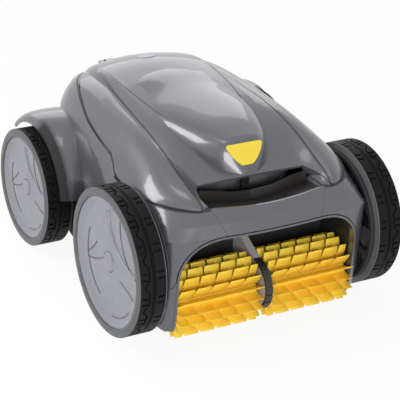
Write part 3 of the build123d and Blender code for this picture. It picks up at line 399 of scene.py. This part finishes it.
def tyre(name, radius, axle, pitches):
    """Left tyre: carcass tube, cut tread, grey side walls and a closed inner face."""
    floor = radius - TREAD_DEPTH
    middle = Vector((-WHEEL_OUT + TYRE_WIDTH / 2, axle.y, axle.z))
    bpy.ops.object.select_all(action="DESELECT")
    bpy.ops.mesh.primitive_cylinder_add(
        vertices=STEPS * pitches, radius=floor, depth=TYRE_WIDTH - 0.004, end_fill_type="NOTHING",
        location=middle, rotation=(0, pi / 2, 0))
    piece = begin(name, RUBBER)
    piece.data.materials.append(SIDEWALL)
    for d in TREAD_COLUMNS:
        bpy.ops.mesh.select_all(action="SELECT")
        bpy.ops.mesh.bisect(plane_co=(-WHEEL_OUT + d, 0, 0), plane_no=(1, 0, 0))
    for step, shift in WAVE.items():
        pick(piece, "VERT", lambda v: abs(step_of(v.co, axle, pitches) - step) < 0.4 and any(
            abs(v.co.x + WHEEL_OUT - d) < 1e-5 for d in WAVE_COLUMNS))
        bpy.ops.transform.translate(value=(-shift, 0, 0))

    def raised(face):
        place = face.calc_center_median()
        column = sum(place.x + WHEEL_OUT > d + (-WAVE.get(round(step_of(place, axle, pitches)), 0)
                     if d in WAVE_COLUMNS else 0) for d in TREAD_COLUMNS)
        step = int(step_of(place, axle, pitches))
        return column not in GROOVES and not (column in SLIT_COLUMNS and step in SLITS)

    pick(piece, "FACE", raised)
    bpy.ops.mesh.extrude_region_shrink_fatten(TRANSFORM_OT_shrink_fatten={"value": TREAD_DEPTH})
    for side, outward in ((-1, -WHEEL_OUT + 0.002), (1, -WHEEL_OUT + TYRE_WIDTH - 0.002)):
        edge_ring(piece, outward)
        inset = 0.0
        for shift, next_inset in SHOULDER:
            pull_ring(side * shift, (radius - next_inset) / (radius - inset), middle)
            inset = next_inset
    pick(piece, "EDGE", lambda e: e.is_boundary)
    bpy.ops.mesh.bridge_edge_loops()

    def sidewall(face):
        place = face.calc_center_median()
        off_axle = hypot(place.y - axle.y, place.z - axle.z)
        return place.x > -WHEEL_OUT + TREAD_COLUMNS[-1] or (
            place.x < -WHEEL_OUT + TREAD_COLUMNS[0] and off_axle < radius - 0.0008)

    pick(piece, "FACE", sidewall)
    piece.active_material_index = 1
    bpy.ops.object.material_slot_assign()
    return finished(piece, 0.0003, 40.0)


front_tyre = tyre("tyre_tread_front_left", FRONT_R, FRONT_AXLE, 18)
rear_tyre = tyre("tyre_tread_rear_left", REAR_R, REAR_AXLE, 15)
for end, left in (("front", front_tyre), ("rear", rear_tyre)):
    for side, piece in (("left", left), ("right", mirrored(left, f"tyre_tread_{end}_right"))):
        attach(piece, f"wheel_{end}_{side}")
        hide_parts(f"tyre_{end}_{side}")

# ---- hub caps ---------------------------------------------------------------------------------
# Section from rim to centre: metres in from the outer face, and share of the cap's radius.
CAP_RINGS = (
    (0.0038, 1.0), (0.0027, 0.988), (0.0026, 0.968), (0.0034, 0.948), (0.0060, 0.90),
    (0.0070, 0.86), (0.0074, 0.80), (0.0074, 0.17), (0.0070, 0.15), (0.0058, 0.14), (0.0054, 0.11),
)
CAP_FLOOR = 0.0074
# Relief of a front cap in millimetres: centre forwards and up of the axle, radius, start and end
# in degrees, width, height.
RIDGE = (72, 102, 87, 198, 277, 6.0, 3.0)
# These thin ribs carry painted shade for the dark grooves of the relief; the ridge keeps the cap's
# own colour.
CAP_RIBS = (
    (94, 76, 66, 176, 262, 1.5, 1.0),
    (14, -212, 200, 72, 84, 1.8, 1.0),
    (0, 0, 67, 160, 250, 1.6, 1.0),
    (-150, 90, 135, 307, 325, 1.8, 1.0),
    (-100, 115, 143, 285, 307, 1.8, 1.2),
    (0, 0, 80, 281, 324, 1.8, 1.0),
    (0, 0, 15, 20, 330, 1.2, 0.8),
)


def rib(material, axle, scale, forward, up, radius, start, end, width, height):
    """A rounded rib on the floor of a cap, spun about its own centre."""
    radius *= scale
    centre = Vector((-WHEEL_OUT + CAP_FLOOR, axle.y - forward * scale, axle.z + up * scale))
    turn = radians(start)
    first = centre + radius * Vector((0, -cos(turn), sin(turn)))
    bpy.ops.mesh.primitive_circle_add(vertices=10, radius=width * scale / 2, location=first)
    piece = begin("cap_rib", material)
    bpy.ops.mesh.select_all(action="SELECT")
    bpy.ops.transform.resize(value=(2 * height / width, 1, 1), center_override=first)
    bpy.ops.transform.rotate(value=turn, orient_axis="X", center_override=first)
    bpy.ops.mesh.spin(steps=max(6, round((end - start) / 5)), angle=radians(end - start),
                      center=centre, axis=(1, 0, 0))
    bpy.ops.mesh.select_all(action="SELECT")
    bpy.ops.mesh.fill_holes(sides=12)
    return finished(piece, angle=50.0)


def hubcap(name, radius, axle):
    """Left cap: a dished cover with a raised rim, a small boss and curved ribs."""
    edge = radius - TYRE_DEPTH - 0.0012
    middle = Vector((-WHEEL_OUT + 0.0079, axle.y, axle.z))
    bpy.ops.object.select_all(action="DESELECT")
    bpy.ops.mesh.primitive_circle_add(vertices=96, radius=edge, location=middle,
                                      rotation=(0, pi / 2, 0))
    piece = begin(name, CAP)
    bpy.ops.mesh.select_all(action="SELECT")
    depth, share = 0.0079, 1.0
    for next_depth, next_share in CAP_RINGS:
        pull_ring(next_depth - depth, next_share / share, middle)
        depth, share = next_depth, next_share
    bpy.ops.mesh.edge_face_add()
    finished(piece, angle=40.0)
    ribs = [rib(CAP_SHADE_LINE, axle, edge / 95.3, *sizes) for sizes in CAP_RIBS]
    ribs.append(rib(CAP, axle, edge / 95.3, *RIDGE))
    bpy.ops.object.select_all(action="DESELECT")
    for part in ribs:
        part.select_set(True)
    piece.select_set(True)
    bpy.context.view_layer.objects.active = piece
    bpy.ops.object.join()
    return piece


front_cap = hubcap("cap_front_left", FRONT_R, FRONT_AXLE)
rear_cap = hubcap("cap_rear_left", REAR_R, REAR_AXLE)
for end, left in (("front", front_cap), ("rear", rear_cap)):
    for side, piece in (("left", left), ("right", mirrored(left, f"cap_{end}_right"))):
        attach(piece, f"wheel_{end}_{side}")
        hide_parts(f"hubcap_{end}_{side}")

# ---- brushes ----------------------------------------------------------------------------------
PADDLES = 5
ROWS = 18
PADDLE_PITCH = (BRUSH_OUT - BRUSH_IN) / PADDLES
PADDLE_FOOT = 0.0056
# Up a paddle: share of its height, backward lean in metres, width and thickness left.
PADDLE_STEPS = (
    (0.16, 0.0000, 1.0, 0.84), (0.36, 0.0004, 0.965, 0.66), (0.56, 0.0012, 0.93, 0.48),
    (0.76, 0.0025, 0.90, 0.33), (0.94, 0.0040, 0.87, 0.20), (1.0, 0.0046, 0.82, 0.13),
)


def paddle_row(count, first_x):
    """A row of leaning, tapered paddles along the top of the left brush."""
    foot = Vector((first_x, BRUSH_AXLE.y, BRUSH_AXLE.z + BRUSH_ROOT_R - 0.001))
    height = BRUSH_TIP_R - BRUSH_ROOT_R + 0.0005
    bpy.ops.object.select_all(action="DESELECT")
    bpy.ops.mesh.primitive_plane_add(size=PADDLE_PITCH, location=foot)
    piece = begin("paddles", BRUSH)
    bpy.ops.mesh.select_all(action="SELECT")
    bpy.ops.transform.resize(value=(1, PADDLE_FOOT / PADDLE_PITCH, 1), center_override=foot)
    rise = lean = 0.0
    wide = thick = 1.0
    for next_rise, next_lean, next_wide, next_thick in PADDLE_STEPS:
        bpy.ops.mesh.extrude_region_move(TRANSFORM_OT_translate={
            "value": (0, next_lean - lean, (next_rise - rise) * height)})
        bpy.ops.transform.resize(value=(next_wide / wide, next_thick / thick, 1),
                                 center_override=foot + Vector((0, next_lean, next_rise * height)))
        rise, lean, wide, thick = next_rise, next_lean, next_wide, next_thick
    bpy.ops.object.mode_set(mode="OBJECT")
    row = piece.modifiers.new("row", "ARRAY")
    row.count, row.use_relative_offset, row.use_constant_offset = count, False, True
    row.constant_offset_displace = (PADDLE_PITCH, 0, 0)
    bpy.ops.object.modifier_apply(modifier=row.name)
    bpy.ops.object.mode_set(mode="EDIT")
    for x, outward in ((-BRUSH_OUT, -1), (-BRUSH_IN, 1)):
        bpy.ops.mesh.select_all(action="SELECT")
        bpy.ops.mesh.bisect(plane_co=(x, 0, 0), plane_no=(outward, 0, 0), use_fill=True,
                            clear_outer=True)
    return piece


def round_roller(piece, start):
    """Turns a row to its first place and repeats it at every second row round the roller."""
    bpy.ops.mesh.select_all(action="SELECT")
    bpy.ops.transform.rotate(value=-radians(start), orient_axis="X", center_override=BRUSH_AXLE)
    for _ in range(ROWS // 2 - 1):
        bpy.ops.mesh.duplicate()
        bpy.ops.transform.rotate(value=radians(720 / ROWS), orient_axis="X",
                                 center_override=BRUSH_AXLE)
    return finished(piece, 0.0003, 50.0)


def brush_sleeve(name):
    even = round_roller(paddle_row(PADDLES, -BRUSH_OUT + PADDLE_PITCH / 2), 10)
    odd = round_roller(paddle_row(PADDLES + 1, -BRUSH_OUT), 30)
    bpy.ops.object.select_all(action="DESELECT")
    middle = ((-BRUSH_IN - BRUSH_OUT) / 2, BRUSH_AXLE.y, BRUSH_AXLE.z)
    bpy.ops.mesh.primitive_cylinder_add(vertices=48, radius=BRUSH_ROOT_R, location=middle,
                                        depth=BRUSH_OUT - BRUSH_IN, rotation=(0, pi / 2, 0))
    piece = finished(begin(name, BRUSH), 0.0008)
    even.select_set(True)
    odd.select_set(True)
    bpy.ops.object.join()
    return piece


left_sleeve = brush_sleeve("lamella_sleeve_left")
right_sleeve = mirrored(left_sleeve, "lamella_sleeve_right")
for side, piece in (("left", left_sleeve), ("right", right_sleeve)):
    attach(piece, f"brush_{side}")
    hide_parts(f"brush_sleeve_{side}")

# ---- camera -----------------------------------------------------------------------------------
AZIMUTH, ELEVATION, ROLL = radians(-30.86), radians(27.19), radians(3.98)
TARGET = Vector((0.00856, -0.005, 0.09971))
DISTANCE = 2.4516
FOCAL_PX, IMAGE_PX, SENSOR = 1621.56, 400, 36.0


def add_camera():
    back = Vector((sin(AZIMUTH) * cos(ELEVATION), -cos(AZIMUTH) * cos(ELEVATION), sin(ELEVATION)))
    right = Vector((cos(AZIMUTH), sin(AZIMUTH), 0))
    up = back.cross(right)
    right, up = (right * cos(ROLL) + up * sin(ROLL), up * cos(ROLL) - right * sin(ROLL))
    bpy.ops.object.camera_add()
    camera = bpy.context.object
    turn = Matrix((right, up, back)).transposed().to_4x4()
    camera.matrix_world = Matrix.Translation(TARGET + back * DISTANCE) @ turn
    camera.data.sensor_width = SENSOR
    camera.data.lens = FOCAL_PX / IMAGE_PX * SENSOR
    camera.data.clip_end = 50
    bpy.context.scene.camera = camera


# ---- studio -----------------------------------------------------------------------------------
DIM, BRIGHT = 0.22, 0.70         # world strength ahead of the machine and behind it
BACKGROUND_RAYS = ("Camera", "Glossy", "Transmission")
FLOOR_GLOW = 0.93                # share of white where the floor is seen
# Softboxes: name, place, aim, size, power.
LAMPS = (
    ("key_softbox", (-1.45, 0.65, 1.4), (0, 0, 0.1), (1.2, 0.8), 22),
    ("top_softbox", (-0.2, 0.1, 2.0), (0, 0, 0.1), (0.6, 0.6), 3),
    ("front_fill", (-0.8, -2.15, 0.75), (0, -0.1, 0.06), (1.7, 0.8), 36),
    ("rear_panel", (0.7, 2.1, 1.1), (0, 0, 0.15), (2.2, 1.0), 8),
)


def add_lamp(name, place, aim, size, power):
    bpy.ops.object.light_add(type="AREA", location=place)
    lamp = bpy.context.object
    lamp.name = name
    lamp.data.shape = "RECTANGLE"
    lamp.data.size, lamp.data.size_y = size
    lamp.data.energy = power
    lamp.rotation_euler = (Vector(aim) - Vector(place)).to_track_quat("-Z", "Y").to_euler()


def add_floor():
    bpy.ops.object.select_all(action="DESELECT")
    bpy.ops.mesh.primitive_plane_add(size=12, location=(0, 0, -0.0005))
    floor = bpy.context.object
    floor.name = "studio_floor"
    paint = Paint("floor_white")
    paint.feed("Base Color", paint.mix(paint.noise(3.0), (0.88, 0.88, 0.88, 1), (0.9, 0.9, 0.9, 1)))
    paint.feed("Roughness", 0.9)
    rays = paint.node("ShaderNodeLightPath").socket.node.outputs
    seen = sum(Value(paint, rays[f"Is {kind} Ray"]) for kind in BACKGROUND_RAYS).held()
    glow = paint.node("ShaderNodeEmission", inputs={"Color": (1, 1, 1, 1), "Strength": 1.0})
    share = FLOOR_GLOW * seen
    mixed = paint.tree.nodes.new("ShaderNodeMixShader")
    paint.tree.links.new(share.socket, mixed.inputs[0])
    paint.tree.links.new(paint.shader.outputs[0], mixed.inputs[1])
    paint.tree.links.new(glow.socket, mixed.inputs[2])
    paint.tree.links.new(mixed.outputs[0], paint.tree.nodes["Material Output"].inputs[0])
    floor.data.materials.append(paint.material)


def add_world():
    """A white world that lights more from behind, and is full white where it is seen."""
    world = bpy.data.worlds.new("studio_world")
    bpy.context.scene.world = world
    world.use_nodes = True
    tree = world.node_tree
    background = tree.nodes["Background"]
    background.inputs["Color"].default_value = (1, 1, 1, 1)
    rays = tree.nodes.new("ShaderNodeLightPath")
    place = tree.nodes.new("ShaderNodeTexCoord")
    axes = tree.nodes.new("ShaderNodeSeparateXYZ")
    tree.links.new(place.outputs["Generated"], axes.inputs[0])
    rearward = tree.nodes.new("ShaderNodeMapRange")
    tree.links.new(axes.outputs["Y"], rearward.inputs["Value"])
    for key, value in (("From Min", -0.5), ("From Max", 0.9), ("To Min", DIM), ("To Max", BRIGHT)):
        rearward.inputs[key].default_value = value
    strength = rearward.outputs[0]
    for kind in BACKGROUND_RAYS:
        brighter = tree.nodes.new("ShaderNodeMath")
        brighter.operation = "MAXIMUM"
        tree.links.new(strength, brighter.inputs[0])
        tree.links.new(rays.outputs[f"Is {kind} Ray"], brighter.inputs[1])
        strength = brighter.outputs[0]
    tree.links.new(strength, background.inputs["Strength"])


add_camera()
add_floor()
add_world()
for lamp in LAMPS:
    add_lamp(*lamp)
bpy.context.scene.view_settings.view_transform = "Standard"
